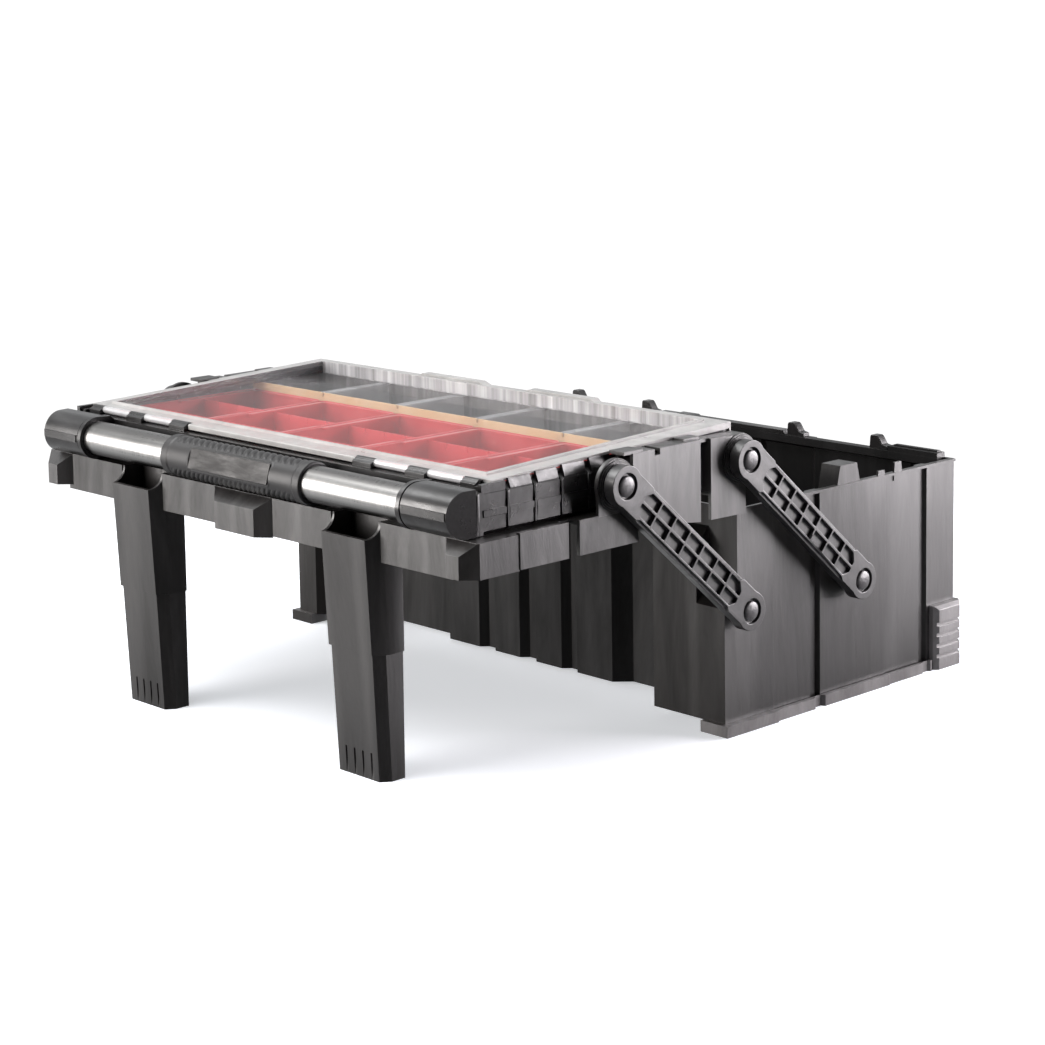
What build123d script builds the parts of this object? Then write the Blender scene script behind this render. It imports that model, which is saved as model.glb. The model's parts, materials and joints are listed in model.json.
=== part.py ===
from build123d import *
import os

os.makedirs("parts", exist_ok=True)

# ------------------------------------------------------------------
# driving dimensions, millimetres. +X right end, -Y tray side, +Z up.
# Stored pose: tray forward, standing on its two legs.
# ------------------------------------------------------------------
FOOT_X = 280.0          # half length over the bin's corner feet
WALL_X = 273.5          # half length over the bin's end walls
RIM_Z = 183.5           # bin rim height
BIN_FRONT = -11.5       # front of the pillars
BIN_REAR = 293.0        # outside of the rear wall
WALL = 3.0              # bin wall thickness
SET_BACK = 4.0          # front of the pillars above the step
STEP_OUT = 258.0        # left of -this the step starts lower, behind the arm
STEP_RIGHT = 243.0      # right of this the step starts lower, behind the arm

LOW_F = (1.5, 103.5)    # lower front pivot (y, z)
LOW_R = (143.0, 103.5)  # lower rear pivot
DY, DZ = -141.0, 122.5  # from each lower pivot to its upper pivot
UP_F = (LOW_F[0] + DY, LOW_F[1] + DZ)
UP_R = (LOW_R[0] + DY, LOW_R[1] + DZ)
ARM_LEN = (DY ** 2 + DZ ** 2) ** 0.5
ARM_IN, ARM_OUT = 281.5, 291.5   # arm faces along X
PIN_R = 6.0
BORE_R = 6.06
HEAD_R = 8.0
POCKET_R, POCKET_D = 10.3, 3.4   # pocket around each pin head
CELL_D = 3.4                     # depth of the lattice cells in the arms

SKIRT_IN, SKIRT_OUT = 275.5, 278.5   # tray side skirts
PLATE_Z0, PLATE_Z1 = 200.5, 203.5    # tray top plate
BAND_Y = -281.0                      # front band panels
BLOCK_Y = -291.0                     # front of the raised blocks
TRAY_REAR = 9.0

LEG_X = 140.0                        # leg centre
SOCKET_CX, SOCKET_CY = 6.5, 12.0     # chamfer of the sockets, along X and Y
LEG_CX, LEG_CY = 5.5, 8.0            # chamfer of the legs, along X and Y
HANDLE_Y, HANDLE_Z = -279.5, 222.0
CASE_X = 262.6
CASE_IN = 258.6         # upper body of the case, under the lid
CASE_F, CASE_R = -262.0, 8.0
CAP_REAR = -270.3       # back of the handle caps
LID_X = 260.7
HINGE_Y, HINGE_Z = -252.0, 240.0


def ztop(y):
    # outer face of the sloping lid
    return 242.0 + (y + 265.0) * 0.037


def mirror_pts(pts):
    return [(-x, y) for x, y in reversed(pts)]


# ------------------------------------------------------------------
# tool bin
# ------------------------------------------------------------------
side = [
    (WALL_X, BIN_FRONT), (WALL_X, 48.0), (WALL_X - 0.8, 48.8),
    (WALL_X - 0.8, 95.0), (WALL_X - 4.3, 97.0), (WALL_X - 4.3, 106.0),
    (WALL_X - 0.8, 108.0), (WALL_X - 0.8, 195.0), (WALL_X - 1.9, 196.4),
    (WALL_X - 1.9, 243.0), (WALL_X - 5.2, 245.0), (WALL_X - 5.2, 252.0),
    (WALL_X - 1.9, 254.0), (WALL_X - 1.9, BIN_REAR),
]
rear = [
    (232.0, BIN_REAR), (228.0, BIN_REAR - 4.0), (120.0, BIN_REAR - 4.0),
    (116.0, BIN_REAR), (56.0, BIN_REAR), (52.0, BIN_REAR - 4.0),
]
front = [
    (-248.0, BIN_FRONT), (-192.5, 44.0), (-118.0, 44.0), (-105.0, 31.0),
    (-64.5, 31.0), (-58.0, 37.5), (-50.0, 37.5), (-43.5, 31.0),
    (-11.0, 31.0), (-4.5, 37.5), (3.5, 37.5), (10.0, 31.0),
    (42.5, 31.0), (49.0, 37.5), (55.5, 37.5), (62.0, 31.0),
    (105.0, 31.0), (118.0, 44.0), (191.0, 44.0), (195.0, BIN_FRONT),
]
outline = front + side + rear + mirror_pts(rear) + mirror_pts(side)

# hollow inside of the bin: deep behind the fluted wall, raised in the pillars
with BuildPart() as cavity:
    with BuildSketch(Plane.XY.offset(6.0)):
        with BuildLine():
            Polyline(*outline, close=True)
        make_face()
        offset(amount=-WALL, kind=Kind.INTERSECTION, mode=Mode.REPLACE)
    extrude(amount=190.0)
    # raised floor in the pillars
    with BuildSketch(Plane.XY.offset(0.0)):
        with Locations((0, -23.0)):
            Rectangle(700.0, 114.0)
    extrude(amount=12.0, mode=Mode.SUBTRACT)
    # inside of the upper set-back
    for x0, dx, z in ((-300.0, 600.0, 147.0), (-300.0, 303.0 - STEP_OUT, 101.0),
                      (STEP_RIGHT - WALL, 303.0 - STEP_RIGHT, 101.0)):
        with BuildSketch(Plane.YZ.offset(x0)):
            with BuildLine():
                Polyline((-40, z), (BIN_FRONT + WALL, z),
                         (SET_BACK + WALL, z + 15.5),
                         (SET_BACK + WALL, 220.0), (-40, 220.0), close=True)
            make_face()
        extrude(amount=dx, mode=Mode.SUBTRACT)

with BuildPart() as bin_shell:
    with BuildSketch(Plane.XY.offset(3.0)):
        with BuildLine():
            Polyline(*outline, close=True)
        make_face()
    extrude(amount=RIM_Z - 3.0)
    # upper front set back behind the hanging band of the closed tray
    for x0, dx, z in ((-300.0, 600.0, 150.0), (-300.0, 300.0 - STEP_OUT, 104.0),
                      (STEP_RIGHT, 300.0 - STEP_RIGHT, 104.0)):
        with BuildSketch(Plane.YZ.offset(x0)):
            with BuildLine():
                Polyline((-40, z), (BIN_FRONT, z), (SET_BACK, z + 15.5),
                         (SET_BACK, 220.0), (-40, 220.0), close=True)
            make_face()
        extrude(amount=dx, mode=Mode.SUBTRACT)
    # pillars stop above the floor beside their feet
    with BuildSketch(Plane.XY.offset(0.0)):
        with Locations((0, -6.5)):
            Rectangle(700.0, 75.0)
    extrude(amount=9.0, mode=Mode.SUBTRACT)
    # locating tabs standing on the end walls
    for s in (1, -1):
        with BuildSketch(Plane.YZ.offset(s * 271.6 - 1.0)):
            with BuildLine():
                Polyline((184.0, 176.0), (186.0, 187.5), (194.0, 187.5),
                         (196.0, 176.0), close=True)
            make_face()
            with BuildLine():
                Polyline((207.0, 176.0), (208.0, 192.0), (217.0, 192.0),
                         (219.0, 176.0), close=True)
            make_face()
        extrude(amount=2.0)
    add(cavity.part, mode=Mode.SUBTRACT)
    # locating block on each end wall, open underneath
    for s in (1, -1):
        with BuildSketch(Plane.YZ.offset(s * 272.6)):
            with BuildLine():
                Polyline((129.0, 174.0), (135.0, 199.4), (157.0, 199.4),
                         (163.0, 174.0), close=True)
            make_face()
        extrude(amount=-s * 20.0)
        with BuildSketch(Plane.YZ.offset(s * 270.2)):
            with BuildLine():
                Polyline((131.0, 170.0), (137.0, 197.0), (155.0, 197.0),
                         (161.0, 170.0), close=True)
            make_face()
        extrude(amount=-s * 15.2, mode=Mode.SUBTRACT)
    # lip along the top of the end walls
    for s in (1, -1):
        with BuildSketch(Plane.XY.offset(RIM_Z - 2.2)):
            with Locations((s * (WALL_X - 2.1), 166.0)):
                Rectangle(5.6, 252.0)
        extrude(amount=2.2)
    # thick bar inside the top of the rear wall
    with BuildSketch(Plane.YZ.offset(-262.0)):
        with BuildLine():
            Polyline((281.4, 176.5), (290.5, 173.0), (290.5, RIM_Z),
                     (281.4, RIM_Z), close=True)
        make_face()
    extrude(amount=524.0)
    # raised ends of the rear rim
    for s in (1, -1):
        with BuildSketch(Plane.XY.offset(RIM_Z - 0.5)):
            with Locations((s * 234.5, 287.0)):
                Rectangle(55.0, 11.0)
        extrude(amount=5.0)
        with BuildSketch(Plane.XY.offset(RIM_Z - 0.5)):
            with Locations((s * 234.5, 289.0)):
                Rectangle(48.0, 5.0)
        extrude(amount=6.2)
    # holes for the lower pivot pins
    for s in (1, -1):
        for y, z in (LOW_F, LOW_R):
            with Locations(Location((s * 271.0, y, z), (0, 90, 0))):
                Cylinder(PIN_R, 14.0, mode=Mode.SUBTRACT)
bin_shell.part.label = "bin_shell"

# ------------------------------------------------------------------
# base skirt: corner feet and the strip that stands on the floor
# ------------------------------------------------------------------
with BuildPart() as base_skirt:
    for s in (1, -1):
        with BuildSketch(Plane.XY):
            pts = [(250.6, -16.0), (FOOT_X, -16.0), (FOOT_X, 47.0),
                   (278.0, 49.0), (278.0, 96.0), (274.4, 98.0),
                   (274.4, 107.0), (278.0, 109.0), (278.0, 195.0),
                   (276.6, 197.0), (276.6, 243.0), (274.4, 245.0),
                   (274.4, 252.0), (276.6, 254.0), (276.6, 256.0),
                   (262.0, 256.0), (262.0, 20.0), (254.0, 10.0),
                   (250.6, 2.0)]
            if s < 0:
                pts = [(-x, y) for x, y in pts]
            with BuildLine():
                Polyline(*pts, close=True)
            make_face()
        extrude(amount=3.0)
    # upstanding edge outside the wall
    for s in (1, -1):
        with BuildSketch(Plane.XY.offset(3.0)):
            pts = [(250.6, -16.0), (FOOT_X, -16.0), (FOOT_X, 47.0),
                   (278.0, 49.0), (278.0, 96.0), (274.4, 98.0),
                   (274.4, 107.0), (278.0, 109.0), (278.0, 195.0),
                   (276.6, 197.0), (276.6, 243.0), (274.4, 245.0),
                   (274.4, 252.0), (276.6, 254.0), (276.6, 256.0),
                   (WALL_X + 0.05, 256.0), (WALL_X + 0.05, -11.6),
                   (250.6, -11.6)]
            if s < 0:
                pts = [(-x, y) for x, y in pts]
            with BuildLine():
                Polyline(*pts, close=True)
            make_face()
        extrude(amount=6.4)
    # feet under the pillars
    for s in (1, -1):
        with BuildSketch(Plane.XY.offset(3.0)):
            pts = [(250.6, -12.0), (WALL_X + 0.2, -12.0),
                   (WALL_X + 0.2, 18.0), (262.0, 18.0), (254.0, 10.0),
                   (250.6, 2.0)]
            if s < 0:
                pts = [(-x, y) for x, y in pts]
            with BuildLine():
                Polyline(*pts, close=True)
            make_face()
        extrude(amount=5.8)
    # cross strips under the bin floor
    for y in (60.0, 250.0):
        with BuildSketch(Plane.XY):
            with Locations((0, y)):
                Rectangle(530.0, 12.0)
        extrude(amount=2.9)
base_skirt.part.label = "base_skirt"

# ------------------------------------------------------------------
# ribbed bumpers on the two rear corners
# ------------------------------------------------------------------
def bumper(s):
    with BuildPart() as b:
        with BuildSketch(Plane.XY):
            pts = [(271.7, 258.0), (276.0, 258.0), (FOOT_X, 262.0),
                   (FOOT_X, 291.5), (274.0, 297.8), (236.0, 297.8),
                   (236.0, 293.1), (271.7, 293.1)]
            if s < 0:
                pts = [(-x, y) for x, y in pts]
            with BuildLine():
                Polyline(*pts, close=True)
            make_face()
        extrude(amount=57.0)
        # grooves between the ribs
        for k in range(4):
            with BuildSketch(Plane.XY.offset(10.5 + 9.5 * k)):
                pts = [(278.4, 240.0), (290.0, 240.0), (290.0, 305.0),
                       (230.0, 305.0), (230.0, 296.2), (273.3, 296.2),
                       (278.4, 290.8)]
                if s < 0:
                    pts = [(-x, y) for x, y in pts]
                with BuildLine():
                    Polyline(*pts, close=True)
                make_face()
            extrude(amount=3.2, mode=Mode.SUBTRACT)
        # sloped top edge
        with BuildSketch(Plane.XZ.offset(-310.0)):
            with BuildLine():
                Polyline((s * 276.0, 57.5), (s * 285.0, 57.5),
                         (s * 285.0, 49.0), close=True)
            make_face()
        extrude(amount=60.0, mode=Mode.SUBTRACT)
    return b


rear_bumper_right = bumper(1)
rear_bumper_right.part.label = "rear_bumper_right"
rear_bumper_left = bumper(-1)
rear_bumper_left.part.label = "rear_bumper_left"

# ------------------------------------------------------------------
# hooks and pads along the rear rim
# ------------------------------------------------------------------
with BuildPart() as rear_rim_hooks:
    for x0 in (-196.0, -99.0, 88.0, 185.0):
        with BuildSketch(Plane.XZ.offset(-283.4)):
            with BuildLine():
                Polyline((x0, RIM_Z), (x0 + 0.8, 194.0), (x0 + 2.0, 195.6),
                         (x0 + 8.6, 195.6), (x0 + 10.4, 194.2),
                         (x0 + 14.6, 188.0), (x0 + 20.0, 187.0),
                         (x0 + 20.0, RIM_Z), close=True)
            make_face()
        extrude(amount=-8.6)
with BuildPart() as rim_cap:
    with BuildSketch(Plane.XZ.offset(-282.6)):
        with BuildLine():
            Polyline((-77.0, RIM_Z), (-74.0, 187.6), (-52.0, 187.6),
                     (-50.0, 188.8), (-30.0, 188.8), (-28.0, 187.6),
                     (83.0, 187.6), (86.0, RIM_Z), close=True)
        make_face()
    extrude(amount=-9.4)
rear_rim_hooks.part.label = "rear_rim_hooks"
rim_cap.part.label = "rear_rim_cap"

# ------------------------------------------------------------------
# arms: four equal links with a latticed outer face
# ------------------------------------------------------------------
def arm(s, low):
    plane = Plane(origin=(s * (ARM_IN if s > 0 else ARM_OUT), low[0], low[1]),
                  x_dir=(0, DY / ARM_LEN, DZ / ARM_LEN), z_dir=(1, 0, 0))
    face = Plane(origin=(s * ARM_OUT, low[0], low[1]),
                 x_dir=(0, DY / ARM_LEN, DZ / ARM_LEN), z_dir=(s, 0, 0))
    half = ARM_LEN / 2
    with BuildPart() as a:
        with BuildSketch(plane):
            with Locations((half, 0)):
                SlotCenterToCenter(ARM_LEN, 30.0)
            with Locations((0, 0), (ARM_LEN, 0)):
                Circle(16.0)
        extrude(amount=ARM_OUT - ARM_IN)
        # shallow step around the bar, between the heads
        with BuildSketch(face):
            for r in (1, -1):
                with BuildLine():
                    Polyline((28.0, r * 12.6), (ARM_LEN - 28.0, r * 12.6),
                             (ARM_LEN - 24.0, r * 15.6), (24.0, r * 15.6),
                             close=True)
                make_face()
        extrude(amount=-2.2, mode=Mode.SUBTRACT)
        # lattice cells: two rows of seven, end cells with a cut corner
        n = 7
        x0, x1 = 21.0, ARM_LEN - 21.0
        pitch = (x1 - x0) / n
        rib = 2.0
        for k in range(n):
            a0 = x0 + k * pitch + rib / 2
            a1 = x0 + (k + 1) * pitch - rib / 2
            for r in (1, -1):
                y0, y1 = r * 1.2, r * 10.6
                if k == 0:
                    cell = [(a0, y0), (a1, y0), (a1, y1), (a0 + 5.5, y1),
                            (a0, y1 - r * 5.5)]
                elif k == n - 1:
                    cell = [(a0, y0), (a1, y0), (a1, y1 - r * 5.5),
                            (a1 - 5.5, y1), (a0, y1)]
                else:
                    cell = [(a0, y0), (a1, y0), (a1, y1), (a0, y1)]
                with BuildSketch(face):
                    with BuildLine():
                        Polyline(*cell, close=True)
                    make_face()
                extrude(amount=-CELL_D, mode=Mode.SUBTRACT)
        # round pockets that take the pin heads
        with BuildSketch(face):
            with Locations((0, 0), (ARM_LEN, 0)):
                Circle(POCKET_R)
        extrude(amount=-POCKET_D, mode=Mode.SUBTRACT)
        # bores
        with BuildSketch(plane.offset(-2)):
            with Locations((0, 0), (ARM_LEN, 0)):
                Circle(BORE_R)
        extrude(amount=ARM_OUT - ARM_IN + 4, mode=Mode.SUBTRACT)
    return a


arm_front_right = arm(1, LOW_F)
arm_rear_right = arm(1, LOW_R)
arm_front_left = arm(-1, LOW_F)
arm_rear_left = arm(-1, LOW_R)
arm_front_right.part.label = "arm_front_right"
arm_rear_right.part.label = "arm_rear_right"
arm_front_left.part.label = "arm_front_left"
arm_rear_left.part.label = "arm_rear_left"

# ------------------------------------------------------------------
# pivot pins
# ------------------------------------------------------------------
def pin_set(points, x_start, flange):
    with BuildPart() as p:
        for s in (1, -1):
            for y, z in points:
                seat = ARM_OUT - POCKET_D + 0.35
                steps = [(x_start, seat + 0.1, PIN_R),
                         (seat, ARM_OUT - 0.6, HEAD_R),
                         (ARM_OUT - 0.7, ARM_OUT + 0.4, 6.9),
                         (ARM_OUT + 0.3, ARM_OUT + 1.0, 5.0)]
                if flange:
                    steps.append((flange, ARM_IN - 0.3, 11.0))
                for a, b, r in steps:
                    with BuildSketch(Plane(origin=(s * a, y, z),
                                           x_dir=(0, 1, 0),
                                           z_dir=(s, 0, 0))):
                        Circle(r)
                    extrude(amount=b - a)
    return p


lower_pivot_pins = pin_set((LOW_F, LOW_R), 270.6, WALL_X + 0.02)
lower_pivot_pins.part.label = "lower_pivot_pins"
upper_pivot_pins = pin_set((UP_F, UP_R), SKIRT_IN, None)
upper_pivot_pins.part.label = "upper_pivot_pins"

with BuildPart() as upper_pivot_rings:
    for s in (1, -1):
        for y, z in (UP_F, UP_R):
            for a, b, r in ((SKIRT_OUT, 279.5, 20.0), (279.5, 280.4, 18.4),
                            (280.4, 281.2, 16.8)):
                with BuildSketch(Plane(origin=(s * a, y, z), x_dir=(0, 1, 0),
                                       z_dir=(s, 0, 0))):
                    Circle(r)
                    Circle(PIN_R, mode=Mode.SUBTRACT)
                extrude(amount=b - a)
upper_pivot_rings.part.label = "upper_pivot_rings"

# ------------------------------------------------------------------
# tray frame: top plate, front band with raised blocks, side skirts
# ------------------------------------------------------------------
with BuildPart() as tray_frame:
    with BuildSketch(Plane.XY.offset(PLATE_Z0)):
        with BuildLine():
            Polyline((-275.5, TRAY_REAR), (275.5, TRAY_REAR),
                     (275.5, -278.5), (266.0, -288.0), (-266.0, -288.0),
                     (-275.5, -278.5), close=True)
        make_face()
    extrude(amount=PLATE_Z1 - PLATE_Z0)
    # front edge of the plate stays behind the panels
    with BuildSketch(Plane.XY.offset(PLATE_Z0 - 1)):
        with Locations((0, -286.0)):
            Rectangle(600.0, 10.0)
    extrude(amount=6.0, mode=Mode.SUBTRACT)
    # panels
    with BuildSketch(Plane.XY.offset(172.5)):
        with Locations((0, BAND_Y + 1.25)):
            Rectangle(500.0, 2.5)
    extrude(amount=PLATE_Z1 - 172.5)
    # middle block
    with BuildSketch(Plane.XY.offset(171.5)):
        with BuildLine():
            Polyline((-38.0, BAND_Y + 0.2), (-25.5, BLOCK_Y),
                     (25.5, BLOCK_Y), (38.0, BAND_Y + 0.2), close=True)
        make_face()
    extrude(amount=PLATE_Z1 - 171.5)
    # corner blocks
    for s in (1, -1):
        with BuildSketch(Plane.XY.offset(176.5)):
            pts = [(243.5, BAND_Y + 0.2), (254.0, BLOCK_Y),
                   (267.5, BLOCK_Y), (SKIRT_OUT, -280.0),
                   (SKIRT_OUT, -262.0), (SKIRT_IN, -262.0),
                   (SKIRT_IN, BAND_Y + 2.5), (243.5, BAND_Y + 2.5)]
            if s < 0:
                pts = [(-x, y) for x, y in pts]
            with BuildLine():
                Polyline(*pts, close=True)
            make_face()
        extrude(amount=PLATE_Z1 - 176.5)
    # blocks slope back at the top
    with BuildSketch(Plane.YZ.offset(-300.0)):
        with BuildLine():
            Polyline((BLOCK_Y - 0.4, 193.5), (BAND_Y, PLATE_Z1 - 0.2),
                     (BAND_Y, 215.0), (BLOCK_Y - 5.0, 215.0),
                     (BLOCK_Y - 5.0, 193.5), close=True)
        make_face()
    extrude(amount=600.0, mode=Mode.SUBTRACT)
    # side skirts, stepped along their length
    for s in (1, -1):
        for y0, y1, xo, z0, z1 in (
                (-262.0, -240.6, SKIRT_OUT, 176.5, PLATE_Z1),
                (-240.6, -190.6, 279.4, 177.5, 205.0),
                (-178.6, -158.7, 278.9, 177.5, 204.5),
                (-158.7, -115.0, SKIRT_OUT, 177.5, PLATE_Z1)):
            with BuildSketch(Plane.XY.offset(z0)):
                with Locations((s * (SKIRT_IN + xo) / 2, (y0 + y1) / 2)):
                    Rectangle(xo - SKIRT_IN, y1 - y0)
            extrude(amount=z1 - z0)
    # notches in the plate behind the gaps of the skirt and the end bracket
    for s in (1, -1):
        with Locations((s * 272.0, -184.4, 202.0), (s * 272.0, -38.0, 202.0)):
            Box(9.0, 12.0, 6.0, mode=Mode.SUBTRACT)
    # openings for the two leg sockets
    for s in (1, -1):
        with Locations((s * LEG_X, -278.0, 190.0)):
            Box(58.4, 37.2, 60.0, mode=Mode.SUBTRACT)
    # stiffening ribs under the plate, in front of the bin at rest
    with BuildSketch(Plane.XY.offset(194.0)):
        with Locations((0, -100.0), (0, -180.0)):
            Rectangle(440.0, 2.4)
        with Locations((-90.0, -140.0), (90.0, -140.0), (0, -140.0)):
            Rectangle(2.4, 80.0)
    extrude(amount=7.0)
tray_frame.part.label = "tray_frame"

# ------------------------------------------------------------------
# end brackets: tall panels that carry the upper pivots
# ------------------------------------------------------------------
def bracket(s):
    with BuildPart() as b:
        with BuildSketch(Plane.YZ.offset(s * SKIRT_IN)):
            with BuildLine():
                Polyline((-158.0, 203.6), (-115.0, 203.6), (-115.0, 190.5),
                         (-44.0, 181.5), (TRAY_REAR, 180.5),
                         (TRAY_REAR, 244.5), (-44.0, 247.0),
                         (-120.2, 246.6), (-120.2, 236.0),
                         (-158.0, 218.0), close=True)
            make_face()
            with Locations(UP_F):
                Circle(20.0)
        extrude(amount=s * (SKIRT_OUT - SKIRT_IN))
        # deep channel between the two panels
        with Locations((s * 277.0, -38.0, 214.0)):
            Box(8.0, 12.0, 90.0, mode=Mode.SUBTRACT)
        with BuildSketch(Plane.XY.offset(203.7)):
            with BuildLine():
                Polyline((s * 275.7, -44.0), (s * 268.6, -44.0),
                         (s * 268.6, -32.0), (s * 275.7, -32.0),
                         (s * 275.7, -30.5), (s * 267.0, -30.5),
                         (s * 267.0, -45.5), (s * 275.7, -45.5), close=True)
            make_face()
        extrude(amount=41.0)
        # top flanges reaching in to the organizer
        for y0, y1, xo, zt in ((-129.0, -108.0, 277.5, 248.8),
                               (-109.0, -96.0, 277.5, 247.0),
                               (-90.0, -44.0, 277.5, 247.0),
                               (-58.0, -40.0, 273.5, 248.8),
                               (-45.0, -31.0, 275.4, 246.4),
                               (-32.0, TRAY_REAR, 277.5, 245.4)):
            with BuildSketch(Plane.XY.offset(zt - 2.6)):
                with Locations((s * (261.7 + xo) / 2, (y0 + y1) / 2)):
                    Rectangle(xo - 261.7, y1 - y0)
            extrude(amount=2.6)
        with Locations((s * (SKIRT_OUT - 1.0), -93.0, 246.5)):
            Box(9.0, 6.0, 9.0, mode=Mode.SUBTRACT)
        for y, z in (UP_F, UP_R):
            with Locations(Location((s * 277.0, y, z), (0, 90, 0))):
                Cylinder(PIN_R, 12.0, mode=Mode.SUBTRACT)
    return b


end_bracket_right = bracket(1)
end_bracket_right.part.label = "end_bracket_right"
end_bracket_left = bracket(-1)
end_bracket_left.part.label = "end_bracket_left"

# ------------------------------------------------------------------
# leg sockets (hollow, open on top) and the lower legs
# ------------------------------------------------------------------
def socket(cx):
    with BuildPart() as k:
        with BuildSketch(Plane.YZ.offset(cx - 29.0)):
            with BuildLine():
                l1 = Line((-259.5, 100.0), (-259.5, 203.4))
                l2 = Line(l1 @ 1, (-280.0, 203.4))
                l3 = ThreePointArc(l2 @ 1, (-282.6, 194.6), (-291.2, 190.0))
                l4 = Line(l3 @ 1, (-286.6, 100.0))
                l5 = Line(l4 @ 1, l1 @ 0)
            make_face()
        extrude(amount=58.0)
        # wide chamfer on the right-hand corner, along the leaning front face
        for z in (98.0, 206.0):
            yf = -286.6 - (z - 100.0) * 4.6 / 90.0
            with BuildSketch(Plane.XY.offset(z)):
                with BuildLine():
                    Polyline((cx + 29.0 - 1.6 * SOCKET_CX, yf - 0.6 * SOCKET_CY),
                             (cx + 29.0 + 0.6 * SOCKET_CX, yf + 1.6 * SOCKET_CY),
                             (cx + 40.0, yf + 1.6 * SOCKET_CY),
                             (cx + 40.0, yf - 0.6 * SOCKET_CY), close=True)
                make_face()
        loft(mode=Mode.SUBTRACT)
        # pocket, chamfered like the outside
        for z in (104.0, 210.0):
            yf = -286.6 - (z - 100.0) * 4.6 / 90.0
            with BuildSketch(Plane.XY.offset(z)):
                with BuildLine():
                    Polyline((cx - 26.4, -262.1), (cx - 26.4, yf + 2.5),
                             (cx + 27.6 - SOCKET_CX, yf + 2.5),
                             (cx + 26.4, yf + SOCKET_CY + 0.25),
                             (cx + 26.4, -262.1), close=True)
                make_face()
        loft(mode=Mode.SUBTRACT)
        # front wall stays above the arc as a low sill
    return k


leg_socket_right = socket(LEG_X)
leg_socket_right.part.label = "leg_socket_right"
leg_socket_left = socket(-LEG_X)
leg_socket_left.part.label = "leg_socket_left"


def leg(cx):
    with BuildPart() as g:
        # outside, slightly tapered
        with BuildSketch(Plane.XY.offset(0.0)):
            with BuildLine():
                Polyline((cx - 27.2, -259.9), (cx + 27.2, -259.9),
                         (cx + 27.2, -281.2 + LEG_CY), (cx + 27.2 - LEG_CX, -281.2),
                         (cx - 25.7, -281.2), (cx - 27.2, -279.7), close=True)
            make_face()
        with BuildSketch(Plane.XY.offset(99.9)):
            with BuildLine():
                Polyline((cx - 27.8, -259.9), (cx + 27.8, -259.9),
                         (cx + 27.8, -285.0 + LEG_CY), (cx + 27.8 - LEG_CX, -286.0),
                         (cx - 26.3, -286.0), (cx - 27.8, -284.5), close=True)
            make_face()
        loft()
        # grooves at the bottom of the front face
        for dx in (-16.0, -6.0, 4.0, 14.0):
            with Locations(Location((cx + dx, -281.6, 12.0), (-2.75, 0, 0))):
                Box(2.0, 2.2, 26.0, mode=Mode.SUBTRACT)
        # stub inside the socket
        with BuildSketch(Plane.XY.offset(99.9)):
            with Locations((cx, -273.2)):
                Rectangle(36.0, 18.0)
        extrude(amount=0.1)
    return g


leg_right = leg(LEG_X)
leg_right.part.label = "leg_right"
leg_left = leg(-LEG_X)
leg_left.part.label = "leg_left"

# ------------------------------------------------------------------
# organizer case
# ------------------------------------------------------------------
def case_profile(grow):
    x = CASE_X + grow
    right_half = [(258.8, 203.5 - 0.0), (x, 207.0), (x, 234.6),
                  (CASE_IN - 0.5, 239.2)]
    return right_half + [(-a, b) for a, b in reversed(right_half)]


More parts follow.
